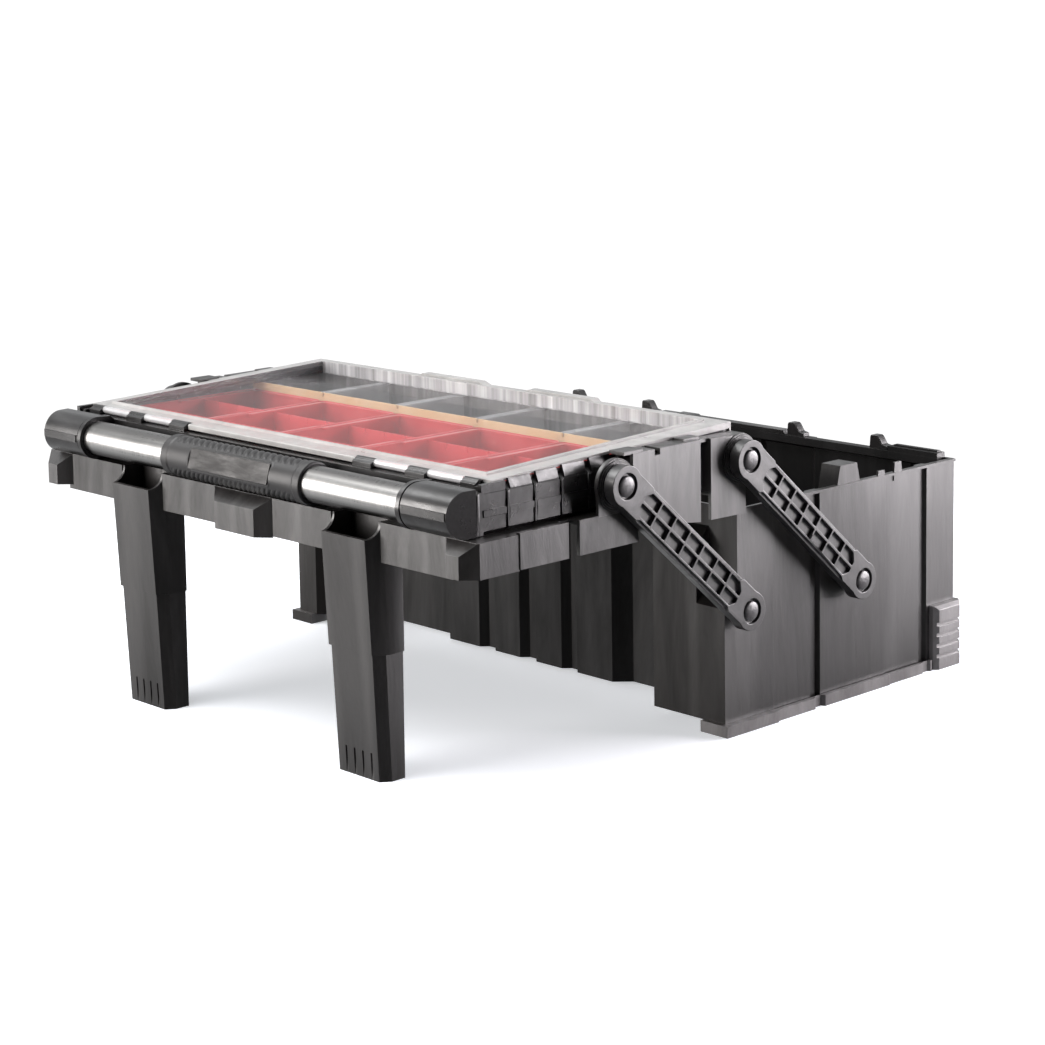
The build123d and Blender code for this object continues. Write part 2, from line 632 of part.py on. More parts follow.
with BuildPart() as organizer_case:
    # lower body, wider than the lid, with sloping shoulders
    with BuildSketch(Plane.XZ.offset(-CASE_F)):
        with BuildLine():
            Polyline(*case_profile(0.0), close=True)
        make_face()
    extrude(amount=-(CASE_R - CASE_F))
    # corner blocks behind the handle caps
    for s in (1, -1):
        with BuildSketch(Plane.XY.offset(204.2)):
            with BuildLine():
                Polyline((s * 212.7, CASE_F + 0.5), (s * 212.7, CAP_REAR + 0.05),
                         (s * (CASE_X - 1.2), CAP_REAR + 0.05),
                         (s * (CASE_X + 1.2), CAP_REAR + 1.6),
                         (s * (CASE_X + 1.2), CAP_REAR + 4.4),
                         (s * CASE_X, CAP_REAR + 5.4),
                         (s * CASE_X, CASE_F + 0.5), close=True)
            make_face()
        extrude(amount=236.0 - 204.2)
    # upper body under the sloping lid
    with BuildSketch(Plane.YZ.offset(-CASE_IN)):
        with BuildLine():
            Polyline((CASE_F, 203.5), (CASE_R, 203.5),
                     (CASE_R, ztop(CASE_R) - 3.1), (-247.0, ztop(-247.0) - 3.1),
                     (-247.0, 236.0), (CASE_F, 236.0), close=True)
        make_face()
    extrude(amount=2 * CASE_IN)
    # low ledge in front of the lid, under the hinge
    with Locations((0, CASE_F + 7.5 - 5.0, 246.0)):
        Box(600.0, 25.0, 20.0, mode=Mode.SUBTRACT)
    # hollow
    with BuildSketch(Plane.XY.offset(205.6)):
        with Locations((0, (CASE_F + 16.0 + CASE_R - 2.5) / 2)):
            Rectangle(514.0, CASE_R - 2.5 - CASE_F - 16.0)
    extrude(amount=60.0, mode=Mode.SUBTRACT)
    # channel under the front ledge
    with BuildSketch(Plane.XY.offset(203.0)):
        with Locations((0, CASE_F + 8.2)):
            Rectangle(512.0, 11.4)
    extrude(amount=30.6, mode=Mode.SUBTRACT)
    # ribs and raised band on the two ends
    for y in (-236.7, -208.6, -181.0, -152.2, -124.0, -96.0, -68.0, -40.0,
              -12.0):
        with BuildSketch(Plane.XZ.offset(-(y - 1.5))):
            with BuildLine():
                Polyline(*case_profile(1.2), close=True)
            make_face()
            with Locations((0, 222.0)):
                Rectangle(520.0, 60.0, mode=Mode.SUBTRACT)
        extrude(amount=-3.0)
    for s in (1, -1):
        with Locations((s * (CASE_X + 0.4), -127.0, 220.0)):
            Box(1.0, 269.0, 5.4)
        # raised pads on the shoulder between the ribs
        for y0, y1 in ((-233.6, -211.7), (-205.5, -184.1), (-177.9, -155.3),
                       (-149.1, -127.1)):
            zt = ztop((y0 + y1) / 2) - 1.2
            with BuildSketch(Plane.XZ.offset(-y0)):
                with BuildLine():
                    Polyline((s * 258.1, 235.0), (s * 258.1, zt),
                             (s * 260.0, zt), (s * 262.6, 236.4),
                             (s * 262.4, 234.0), close=True)
                make_face()
            extrude(amount=-(y1 - y0))
    # ledge blocks at the ends of the front ledge
    for s in (1, -1):
        with Locations((s * 254.6, -255.6, 237.4)):
            Box(5.0, 9.6, 3.6)
        with Locations((s * 260.3, -250.5, 238.2)):
            Box(4.2, 24.0, 6.6)
    # vertical ribs on the rear wall
    with BuildSketch(Plane.XY.offset(203.5)):
        with Locations(*[(x, CASE_R + 0.7) for x in range(-240, 241, 40)]):
            Rectangle(3.4, 1.4)
    extrude(amount=40.0)
organizer_case.part.label = "organizer_case"

# ------------------------------------------------------------------
# rear compartments: dividers behind the long bins
# ------------------------------------------------------------------
COLS = [-256.6, -154.0, -51.4, 51.4, 154.0, 256.6]
SPLIT_Y = -72.0
with BuildPart() as split_wall:
    with Locations((0, SPLIT_Y, (205.7 + 241.3) / 2)):
        Box(513.4, 1.8, 241.3 - 205.7)
    # slots that hold the dividers upright
    for x in COLS[1:-1]:
        with Locations((x, SPLIT_Y, 240.8)):
            Box(2.2, 3.0, 6.0, mode=Mode.SUBTRACT)
split_wall.part.label = "split_wall"

with BuildPart() as compartment_dividers:
    y0, y1 = SPLIT_Y + 0.95, 4.6
    for x in COLS[1:-1]:
        with Locations((x, (y0 + y1) / 2, (205.7 + 241.0) / 2)):
            Box(1.8, y1 - y0, 241.0 - 205.7)
        # flat top rim with two upstanding edges
        with Locations((x, (y0 + y1) / 2, 240.4)):
            Box(10.0, y1 - y0, 1.2)
        with Locations((x - 4.6, (y0 + y1) / 2, 240.9),
                       (x + 4.6, (y0 + y1) / 2, 240.9)):
            Box(0.8, y1 - y0, 1.2)
compartment_dividers.part.label = "compartment_dividers"


def long_bin(k):
    x0, x1 = COLS[k] + 0.6, COLS[k + 1] - 0.6
    cx, w = (x0 + x1) / 2, x1 - x0
    y0, y1 = -245.3, SPLIT_Y - 1.4
    cy, d = (y0 + y1) / 2, y1 - y0
    with BuildPart() as b:
        with BuildSketch(Plane.XY.offset(205.8)):
            RectangleRounded(w - 4.0, d - 4.0, 5.0)
        with BuildSketch(Plane.XY.offset(233.5)):
            RectangleRounded(w - 1.6, d - 1.6, 6.0)
        loft()
        with BuildSketch(Plane.XY.offset(232.0)):
            RectangleRounded(w, d, 6.0)
        extrude(amount=1.8)
        with BuildSketch(Plane.XY.offset(207.4)):
            RectangleRounded(w - 7.0, d - 7.0, 4.0)
        with BuildSketch(Plane.XY.offset(232.3)):
            RectangleRounded(w - 4.6, d - 4.6, 5.0)
        loft(mode=Mode.SUBTRACT)
        # opening in the rim: wide on one side, narrow on the other, with a
        # jog half way
        with BuildSketch(Plane.XY.offset(232.0)):
            with Locations((-2.0, -d / 4 + 1.6)):
                RectangleRounded(w - 9.0, d / 2 - 3.0, 3.0)
            with Locations((2.0, d / 4 - 1.6)):
                RectangleRounded(w - 9.0, d / 2 - 3.0, 3.0)
            with Locations((0, 0)):
                Rectangle(w - 13.0, 12.0)
        extrude(amount=2.0, mode=Mode.SUBTRACT)
        # low bead along the edge of the rim
        with BuildSketch(Plane.XY.offset(233.6)):
            RectangleRounded(w, d, 6.0)
            RectangleRounded(w - 1.6, d - 1.6, 5.2, mode=Mode.SUBTRACT)
        extrude(amount=1.0)
        # slotted cross walls at the thirds
        for t in (-1, 1):
            with Locations((0, t * d / 6, 219.0)):
                Box(w - 5.6, 1.4, 25.0)
            for xo in (-w * 0.25, 0, w * 0.25):
                with Locations((xo, t * d / 6, 229.5)):
                    Box(1.6, 6.0, 6.4, mode=Mode.SUBTRACT)
    b.part.locate(Location((cx, cy, 0)))
    return b


long_bins = []
for k in range(5):
    lb = long_bin(k)
    lb.part.label = "long_bin_%d" % (k + 1)
    long_bins.append(lb)

# ------------------------------------------------------------------
# clear lid with its hinge barrels
# ------------------------------------------------------------------
KN = [(110.0, 132.0), (172.0, 194.0), (234.0, 250.0)]
BAR = [(132.4, 171.6), (194.4, 233.6)]
LID_F = -248.6
LID_R = 11.6
LID_XF = 257.8          # the front part of the lid is a little narrower
with BuildPart() as organizer_lid:
    # flange
    with BuildSketch(Plane.YZ.offset(-LID_X)):
        with BuildLine():
            Polyline((LID_F, ztop(LID_F) - 2.6), (LID_R, ztop(LID_R) - 2.6),
                     (LID_R, ztop(LID_R)), (LID_F, ztop(LID_F)), close=True)
        make_face()
    extrude(amount=2 * LID_X)
    # side skirts along the wider rear part
    for s in (1, -1):
        with BuildSketch(Plane.YZ.offset(s * (LID_X - 1.8))):
            with BuildLine():
                Polyline((-119.0, ztop(-119.0) - 5.2), (LID_R, ztop(LID_R) - 5.2),
                         (LID_R, ztop(LID_R) - 1.0), (-119.0, ztop(-119.0) - 1.0),
                         close=True)
            make_face()
        extrude(amount=s * 1.8)
    # narrower front part
    for s in (1, -1):
        with BuildSketch(Plane.XY.offset(230.0)):
            with BuildLine():
                Polyline((s * LID_XF, -260.0), (s * 270.0, -260.0),
                         (s * 270.0, -119.0), (s * LID_XF, -122.0), close=True)
            make_face()
        extrude(amount=30.0, mode=Mode.SUBTRACT)
    # flange carried forward between the hinges, with a turned-down lip
    with BuildSketch(Plane.YZ.offset(-108.8)):
        with BuildLine():
            Polyline((-247.0, ztop(-247.0) - 2.6), (-251.0, 237.7), (-254.5, 237.7),
                     (-254.5, 241.2), (-253.7, 242.0), (-247.0, ztop(-247.0)),
                     close=True)
        make_face()
    extrude(amount=217.6)
    # level window pane, sunk deeper toward the rear
    with BuildSketch(Plane.YZ.offset(-241.2)):
        with BuildLine():
            Polyline((-238.0, 241.9), (-1.8, 241.9), (-1.8, ztop(-1.8) - 0.5),
                     (-238.0, ztop(-238.0) - 0.5), close=True)
        make_face()
    extrude(amount=482.4)
    # raised border around the window
    with BuildSketch(Plane.YZ.offset(-243.0)):
        with BuildLine():
            Polyline((-240.0, ztop(-240.0) - 0.4), (0.0, ztop(0.0) - 0.4),
                     (-1.5, ztop(0.0) + 1.8), (-238.5, ztop(-240.0) + 1.8),
                     close=True)
        make_face()
    extrude(amount=486.0)
    with BuildSketch(Plane.YZ.offset(-239.5)):
        with BuildLine():
            Polyline((-236.5, 243.2), (-3.5, 243.2),
                     (-3.5, ztop(-3.5) + 9.0), (-236.5, ztop(-236.5) + 9.0),
                     close=True)
        make_face()
    extrude(amount=479.0, mode=Mode.SUBTRACT)
    # rear lip
    with BuildSketch(Plane.YZ.offset(-LID_X)):
        with BuildLine():
            Polyline((LID_R - 1.9, ztop(LID_R) - 8.0),
                     (LID_R, ztop(LID_R) - 8.0), (LID_R, ztop(LID_R) - 1.0),
                     (LID_R - 1.9, ztop(LID_R) - 1.0), close=True)
        make_face()
    extrude(amount=2 * LID_X)
    # two finger tabs on the rear edge
    zr = ztop(LID_R)
    for s in (1, -1):
        with BuildSketch(Plane.XZ.offset(-(LID_R - 6.0))):
            with BuildLine():
                Polyline((s * 24.0, zr - 1.0), (s * 33.0, zr + 2.2),
                         (s * 108.0, zr + 2.2), (s * 112.0, zr - 1.0), close=True)
            make_face()
        extrude(amount=-9.0)
    # barrels
    for s in (1, -1):
        for a, b in BAR:
            x = a if s > 0 else -b
            with BuildSketch(Plane.YZ.offset(x)):
                with Locations((HINGE_Y, HINGE_Z)):
                    Circle(3.3)
                with BuildLine():
                    Polyline((HINGE_Y, HINGE_Z - 0.9), (LID_F + 1.0, HINGE_Z - 0.9),
                             (LID_F + 1.0, HINGE_Z + 1.5), (HINGE_Y, HINGE_Z + 1.5),
                             close=True)
                make_face()
            extrude(amount=b - a)
            with BuildSketch(Plane.YZ.offset(x - 1.0)):
                with Locations((HINGE_Y, HINGE_Z)):
                    Circle(1.56)
            extrude(amount=b - a + 2.0, mode=Mode.SUBTRACT)
organizer_lid.part.label = "organizer_lid"

with BuildPart() as hinge_knuckles:
    for s in (1, -1):
        for a, b in KN:
            x = a if s > 0 else -b
            with BuildSketch(Plane.YZ.offset(x)):
                with Locations((HINGE_Y, HINGE_Z)):
                    Circle(3.3)
                with BuildLine():
                    Polyline((-258.0, 236.0), (HINGE_Y - 1.0, 236.0),
                             (HINGE_Y + 2.6, 238.2), (HINGE_Y, 243.0),
                             (-258.0, 240.0), close=True)
                make_face()
                with Locations((HINGE_Y, HINGE_Z)):
                    Circle(1.5, mode=Mode.SUBTRACT)
            extrude(amount=b - a)
hinge_knuckles.part.label = "hinge_knuckles"

with BuildPart() as hinge_rods:
    for s in (1, -1):
        x = KN[0][0] + 1.0 if s > 0 else -(KN[-1][1] - 1.0)
        with BuildSketch(Plane.YZ.offset(x)):
            with Locations((HINGE_Y, HINGE_Z)):
                Circle(1.5)
        extrude(amount=KN[-1][1] - KN[0][0] - 2.0)
hinge_rods.part.label = "hinge_rods"

# ------------------------------------------------------------------
# carrying handle along the front of the organizer
# ------------------------------------------------------------------
TUBE_R = 14.5
PLATE_TILT = 16.0
PLATE_C, PLATE_S = 0.96126, 0.27564   # cosine and sine of the tilt
with BuildPart() as handle_tube:
    with BuildSketch(Plane.YZ.offset(-210.0)):
        with Locations((HANDLE_Y, HANDLE_Z)):
            Circle(TUBE_R)
            Circle(TUBE_R - 1.5, mode=Mode.SUBTRACT)
    extrude(amount=420.0)
handle_tube.part.label = "handle_tube"

with BuildPart() as handle_grip:
    with BuildSketch(Plane.YZ.offset(-91.0)):
        with Locations((HANDLE_Y, HANDLE_Z)):
            Circle(17.4)
            Circle(TUBE_R, mode=Mode.SUBTRACT)
    extrude(amount=182.0)
    # flat recess for the plate, facing front
    with Locations(Location((0, HANDLE_Y - 16.9 * PLATE_C, HANDLE_Z + 16.9 * PLATE_S),
                            (-PLATE_TILT, 0, 0))):
        Box(104.0, 3.6, 17.4, mode=Mode.SUBTRACT)
handle_grip.part.label = "handle_grip"

with BuildPart() as grip_plate:
    with Locations(Location((0, HANDLE_Y - 15.7 * PLATE_C, HANDLE_Z + 15.7 * PLATE_S),
                            (-PLATE_TILT, 0, 0))):
        Box(103.2, 1.1, 16.6)
grip_plate.part.label = "grip_plate"


def handle_cap(s):
    with BuildPart() as c:
        with BuildSketch(Plane.YZ.offset(s * 211.5)):
            with Locations((HANDLE_Y, HANDLE_Z)):
                Circle(17.9)
            with BuildLine():
                Polyline((HANDLE_Y, 204.4), (CASE_F - 0.02, 204.4),
                         (CASE_F - 0.02, 236.4), (CASE_F - 4.0, 239.9),
                         (HANDLE_Y, 239.9), close=True)
            make_face()
        extrude(amount=s * 54.8)
        # end collar with a groove beside it
        with BuildSketch(Plane.YZ.offset(s * 206.0)):
            with Locations((HANDLE_Y, HANDLE_Z)):
                Circle(18.3)
            with BuildLine():
                Polyline((HANDLE_Y, 204.2), (CASE_F - 0.02, 204.2),
                         (CASE_F - 0.02, 236.0), (CASE_F - 4.0, 239.6),
                         (HANDLE_Y, 240.3), close=True)
            make_face()
        extrude(amount=s * 4.4)
        with BuildSketch(Plane.YZ.offset(s * 210.0)):
            with Locations((HANDLE_Y, HANDLE_Z)):
                Circle(17.0)
            with BuildLine():
                Polyline((HANDLE_Y, 205.2), (CASE_F - 0.02, 205.2),
                         (CASE_F - 0.02, 235.0), (HANDLE_Y, 238.8),
                         close=True)
            make_face()
        extrude(amount=s * 2.0)
        # end face leans in a little towards the front
        with BuildSketch(Plane.XY.offset(190.0)):
            with BuildLine():
                Polyline((s * 266.3, CASE_F), (s * 261.8, HANDLE_Y - 18.4),
                         (s * 261.8, -310.0), (s * 290.0, -310.0),
                         (s * 290.0, CASE_F + 1.0), (s * 266.3, CASE_F + 1.0),
                         close=True)
            make_face()
        extrude(amount=70.0, mode=Mode.SUBTRACT)
        # flat strip along the front at mid height
        with Locations((s * 236.9, HANDLE_Y - 18.0, HANDLE_Z + 0.8)):
            Box(48.0, 1.2, 6.2)
        # flat back against the organizer
        with Locations((s * 236.0, CASE_F + 4.98, HANDLE_Z)):
            Box(80.0, 10.0, 60.0, mode=Mode.SUBTRACT)
        # shorter back beside the corner block of the organizer
        with Locations((s * 251.5, CAP_REAR + 10.0, HANDLE_Z)):
            Box(78.0, 20.0, 60.0, mode=Mode.SUBTRACT)
        # bore that takes the tube
        with BuildSketch(Plane.YZ.offset(s * 205.0)):
            with Locations((HANDLE_Y, HANDLE_Z)):
                Circle(TUBE_R)
        extrude(amount=s * 5.0, mode=Mode.SUBTRACT)
    return c


handle_cap_right = handle_cap(1)
handle_cap_right.part.label = "handle_cap_right"
handle_cap_left = handle_cap(-1)
handle_cap_left.part.label = "handle_cap_left"

# ------------------------------------------------------------------
# one file per piece
# ------------------------------------------------------------------
pieces = [
    bin_shell, base_skirt, rear_bumper_right, rear_bumper_left,
    rear_rim_hooks, rim_cap, arm_front_right, arm_rear_right,
    arm_front_left, arm_rear_left, lower_pivot_pins, upper_pivot_pins,
    upper_pivot_rings, tray_frame, end_bracket_right, end_bracket_left,
    leg_socket_right, leg_socket_left, leg_right, leg_left,
    organizer_case, split_wall, compartment_dividers, organizer_lid, hinge_knuckles,
    hinge_rods, handle_tube, handle_grip, grip_plate, handle_cap_right,
    handle_cap_left,
] + long_bins
for piece in pieces:
    export_step(piece.part, "parts/%s.step" % piece.part.label)
    print(piece.part.label, len(piece.part.solids()),
          round(piece.part.volume / 1000.0, 1))
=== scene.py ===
import bpy
import bmesh
import json
import math
from mathutils import Matrix, Vector

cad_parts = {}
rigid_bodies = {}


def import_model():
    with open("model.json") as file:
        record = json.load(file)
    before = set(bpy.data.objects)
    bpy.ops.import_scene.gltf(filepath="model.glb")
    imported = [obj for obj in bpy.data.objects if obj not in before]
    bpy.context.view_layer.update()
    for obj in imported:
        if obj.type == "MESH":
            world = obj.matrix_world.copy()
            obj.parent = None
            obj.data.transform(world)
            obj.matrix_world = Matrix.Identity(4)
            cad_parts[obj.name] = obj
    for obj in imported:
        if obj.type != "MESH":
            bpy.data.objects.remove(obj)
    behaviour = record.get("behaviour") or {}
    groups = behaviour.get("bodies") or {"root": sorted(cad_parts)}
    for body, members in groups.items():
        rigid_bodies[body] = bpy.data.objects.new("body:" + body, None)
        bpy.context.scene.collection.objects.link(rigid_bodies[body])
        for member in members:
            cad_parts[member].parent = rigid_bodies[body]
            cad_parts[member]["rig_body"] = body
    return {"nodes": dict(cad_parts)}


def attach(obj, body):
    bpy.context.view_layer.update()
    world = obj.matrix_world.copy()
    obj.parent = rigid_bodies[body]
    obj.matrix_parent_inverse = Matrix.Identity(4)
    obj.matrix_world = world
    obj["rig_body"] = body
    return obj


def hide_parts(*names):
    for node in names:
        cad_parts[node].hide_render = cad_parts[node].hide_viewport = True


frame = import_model()
NODES = frame["nodes"]
BODY_OF = {n: o["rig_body"] for n, o in NODES.items()}
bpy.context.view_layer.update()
scene = bpy.context.scene
MM = 0.001

# ------------------------------------------------------------------
# dimensions repeated from the CAD source, metres
# ------------------------------------------------------------------
HANDLE_Y, HANDLE_Z = -0.2795, 0.222
ARM_IN, ARM_OUT = 0.2815, 0.2915
POCKET_D, PIN_R, HEAD_R = 0.0034, 0.006, 0.008
LOW_F, LOW_R = (0.0015, 0.1035), (0.143, 0.1035)
UP_F, UP_R = (-0.1395, 0.226), (0.002, 0.226)


# ------------------------------------------------------------------
# node helpers
# ------------------------------------------------------------------
class Mat:
    def __init__(self, name):
        self.m = bpy.data.materials.new(name)
        self.m.use_nodes = True
        self.t = self.m.node_tree
        self.t.nodes.clear()
        self.out = self.n("ShaderNodeOutputMaterial")
        self.coord = self.n("ShaderNodeTexCoord")

    def n(self, kind, **kw):
        node = self.t.nodes.new(kind)
        for k, v in kw.items():
            setattr(node, k, v)
        return node

    def link(self, a, b):
        self.t.links.new(a, b)

    def mapping(self, scale=(1, 1, 1), rot=(0, 0, 0), loc=(0, 0, 0)):
        mp = self.n("ShaderNodeMapping")
        mp.inputs["Scale"].default_value = scale
        mp.inputs["Rotation"].default_value = rot
        mp.inputs["Location"].default_value = loc
        self.link(self.coord.outputs["Object"], mp.inputs["Vector"])
        return mp.outputs["Vector"]

    def noise(self, vec, scale, detail=4.0, rough=0.55, distortion=0.0):
        nz = self.n("ShaderNodeTexNoise")
        nz.inputs["Scale"].default_value = scale
        nz.inputs["Detail"].default_value = detail
        nz.inputs["Roughness"].default_value = rough
        nz.inputs["Distortion"].default_value = distortion
        self.link(vec, nz.inputs["Vector"])
        return nz.outputs["Fac"]

    def ramp(self, fac, stops):
        r = self.n("ShaderNodeValToRGB")
        el = r.color_ramp.elements
        while len(el) < len(stops):
            el.new(0.5)
        for e, (p, c) in zip(el, stops):
            e.position = p
            e.color = (*c, 1.0) if len(c) == 3 else c
        self.link(fac, r.inputs["Fac"])
        return r.outputs["Color"]

    def rng(self, fac, a, b, lo=0.0, hi=1.0):
        r = self.n("ShaderNodeMapRange")
        r.inputs["From Min"].default_value = lo
        r.inputs["From Max"].default_value = hi
        r.inputs["To Min"].default_value = a
        r.inputs["To Max"].default_value = b
        self.link(fac, r.inputs["Value"])
        return r.outputs["Result"]

    def mix(self, fac, a, b, blend="MIX"):
        x = self.n("ShaderNodeMix", data_type="RGBA", blend_type=blend)
        if isinstance(fac, (int, float)):
            x.inputs[0].default_value = fac
        else:
            self.link(fac, x.inputs[0])
        for sock, v in ((x.inputs[6], a), (x.inputs[7], b)):
            if isinstance(v, tuple):
                sock.default_value = (*v, 1.0) if len(v) == 3 else v
            else:
                self.link(v, sock)
        return x.outputs[2]

    def math(self, op, a, b=0.0, clamp=False):
        x = self.n("ShaderNodeMath", operation=op, use_clamp=clamp)
        for sock, v in ((x.inputs[0], a), (x.inputs[1], b)):
            if isinstance(v, (int, float)):
                sock.default_value = v
            else:
                self.link(v, sock)
        return x.outputs[0]

    def bump(self, height, strength, distance, normal=None):
        b = self.n("ShaderNodeBump")
        b.inputs["Strength"].default_value = strength
        b.inputs["Distance"].default_value = distance
        self.link(height, b.inputs["Height"])
        if normal is not None:
            self.link(normal, b.inputs["Normal"])
        return b.outputs["Normal"]

    def principled(self, **kw):
        p = self.n("ShaderNodeBsdfPrincipled")
        for k, v in kw.items():
            sock = p.inputs[k.replace("_", " ")]
            if hasattr(v, "links"):
                self.link(v, sock)
            else:
                sock.default_value = v
        self.link(p.outputs["BSDF"], self.out.inputs["Surface"])
        return p


def moulded(name, dark, mid, light, rough=(0.33, 0.47), streak=(1.0, 1.0, 0.16),
            flow=9.0, spec=0.62, grain=0.10, seed=0.0, swirl_bump=0.42):
    """Moulded polypropylene: streaky flow marks, slight roughness change, fine grain."""
    m = Mat(name)
    v = m.mapping(scale=streak, loc=(seed, seed * 0.7, seed * 1.3))
    warp = m.noise(v, flow, 5.0, 0.62, 3.4)
    fine = m.noise(v, flow * 5.0, 6.0, 0.65, 1.6)
    vein = m.n("ShaderNodeTexWave", wave_type="BANDS", bands_direction="X")
    vein.inputs["Scale"].default_value = flow * 0.55
    vein.inputs["Distortion"].default_value = 11.0
    vein.inputs["Detail"].default_value = 3.0
    vein.inputs["Detail Scale"].default_value = 1.4
    m.link(v, vein.inputs["Vector"])
    veins = m.rng(vein.outputs["Fac"], 0.0, 1.0, 0.55, 1.0)
    cloud = m.noise(m.mapping(loc=(seed, 0, seed)), 3.0, 3.0, 0.5, 0.4)
    f = m.math("ADD", m.math("MULTIPLY", warp, 0.50), m.math("MULTIPLY", fine, 0.24))
    f = m.math("ADD", f, m.math("MULTIPLY", cloud, 0.18))
    f = m.math("ADD", f, m.math("MULTIPLY", veins, 0.09))
    col = m.ramp(f, [(0.34, dark), (0.50, mid), (0.66, light)])
    rgh = m.rng(m.math("ADD", m.math("MULTIPLY", warp, 0.6), m.math("MULTIPLY", fine, 0.4)),
                rough[1], rough[0], 0.32, 0.66)
    micro = m.noise(m.mapping(), 1500.0, 2.0, 0.5)
    swirl = m.math("ADD", m.math("MULTIPLY", fine, 0.6), m.math("MULTIPLY", warp, 0.6))
    nrm = m.bump(swirl, swirl_bump, 0.0007)
    nrm = m.bump(micro, grain, 0.00012, nrm)
    shine = m.rng(m.math("ADD", m.math("MULTIPLY", f, 0.7), m.math("MULTIPLY", cloud, 0.3)),
                  spec * 0.55, spec * 1.32, 0.38, 0.62)
    m.principled(Base_Color=col, Roughness=rgh, Specular_IOR_Level=shine, Normal=nrm)
    return m.m


MAT = {}
MAT["housing"] = moulded("housing_grey", (0.0062, 0.0054, 0.0053), (0.0115, 0.0102, 0.0100),
                         (0.0230, 0.0208, 0.0206), rough=(0.28, 0.44), spec=0.96)
MAT["housing_x"] = moulded("housing_band", (0.0062, 0.0054, 0.0053), (0.0115, 0.0102, 0.0100),
                           (0.0230, 0.0208, 0.0206), rough=(0.28, 0.44), spec=0.96,
                           streak=(1.0, 1.0, 0.30), flow=15.0, seed=3.1)
MAT["foot"] = moulded("foot_grey", (0.060, 0.056, 0.056), (0.090, 0.084, 0.084),
                      (0.135, 0.127, 0.127), rough=(0.34, 0.48), spec=0.90,
                      streak=(1.0, 1.0, 0.30), flow=15.0, seed=4.4)
MAT["arm"] = moulded("arm_grey", (0.0100, 0.0092, 0.0096), (0.0150, 0.0140, 0.0147),
                     (0.0230, 0.0215, 0.0226), rough=(0.28, 0.42), spec=0.86,
                     streak=(1, 1, 1), flow=16.0, seed=5.3, swirl_bump=0.15)
MAT["dark"] = moulded("dark_moulded", (0.0060, 0.0054, 0.0056), (0.0095, 0.0087, 0.0089),
                      (0.0155, 0.0143, 0.0146), rough=(0.25, 0.36), spec=0.78,
                      streak=(0.4, 1, 1), flow=18.0, grain=0.06, seed=7.7, swirl_bump=0.12)
MAT["plate"] = moulded("plate_satin", (0.0060, 0.0052, 0.0050), (0.0130, 0.0114, 0.0108),
                       (0.0260, 0.0230, 0.0218), rough=(0.38, 0.52), spec=0.50,
                       streak=(0.25, 1, 1), flow=40.0, grain=0.05, seed=9.1, swirl_bump=0.12)
MAT["pin"] = moulded("pin_grey", (0.022, 0.0205, 0.021), (0.036, 0.034, 0.0355),
                     (0.062, 0.058, 0.061), rough=(0.24, 0.38), spec=0.80,
                     streak=(1, 1, 1), flow=60.0, seed=2.3, swirl_bump=0.5)
# a darker, duller copy of the housing, used as painted shade inside the bin and under the tray
MAT["inner"] = moulded("bin_inner_painted_shade", (0.0045, 0.0042, 0.0043), (0.0065, 0.0061, 0.0063),
                       (0.0105, 0.0099, 0.0101), rough=(0.44, 0.58), spec=0.26, seed=1.9)
# a slightly warmer copy of the housing with weaker reflection: painted shade for front faces under the tray
MAT["pillar"] = moulded("bin_front_painted_shade", (0.0062, 0.0052, 0.0048), (0.0115, 0.0098, 0.0092),
                        (0.0220, 0.0192, 0.0182), rough=(0.34, 0.48), spec=0.40, seed=8.3)
MAT["comp"] = moulded("compartment_grey", (0.120, 0.124, 0.132), (0.165, 0.168, 0.176),
                      (0.250, 0.252, 0.260), rough=(0.30, 0.42), spec=0.50,
                      streak=(1.0, 1.0, 0.10), flow=26.0, seed=6.2, swirl_bump=0.15)


def make_tube():
    m = Mat("tube_brushed_painted_shade")
    # lines drawn along the tube, broken by short marks around it
    along = m.noise(m.mapping(scale=(5.0, 900.0, 900.0)), 1.0, 4.0, 0.65)
    around = m.noise(m.mapping(scale=(420.0, 9.0, 9.0)), 1.0, 3.0, 0.6)
    smear = m.noise(m.mapping(scale=(10.0, 36.0, 36.0)), 1.0, 3.0, 0.5)
    mixl = m.math("ADD", m.math("MULTIPLY", along, 0.45), m.math("MULTIPLY", around, 0.25))
    mixl = m.math("ADD", mixl, m.math("MULTIPLY", smear, 0.30))
    col = m.ramp(mixl, [(0.34, (0.42, 0.415, 0.41)), (0.50, (0.56, 0.555, 0.545)),
                        (0.66, (0.66, 0.655, 0.645))])
    rgh = m.rng(mixl, 0.24, 0.38, 0.34, 0.66)
    nrm = m.bump(mixl, 0.12, 0.00010)
    # painted shade: the colour is darkened where the surface faces down and, less, where it faces up, so
    # the middle band reads lit
    sep = m.n("ShaderNodeSeparateXYZ")
    m.link(m.coord.outputs["Normal"], sep.inputs["Vector"])
    painted_shade_below = m.rng(sep.outputs["Z"], 1.0, 0.0, -0.62, -0.22)
    col = m.mix(painted_shade_below, col, (0.085, 0.083, 0.080))
    painted_shade_above = m.rng(sep.outputs["Z"], 0.0, 1.0, 0.30, 0.80)
    col = m.mix(painted_shade_above, col, (0.17, 0.166, 0.162))
    m.principled(Base_Color=col, Metallic=1.0, Roughness=rgh, Normal=nrm)
    return m.m


MAT["tube"] = make_tube()


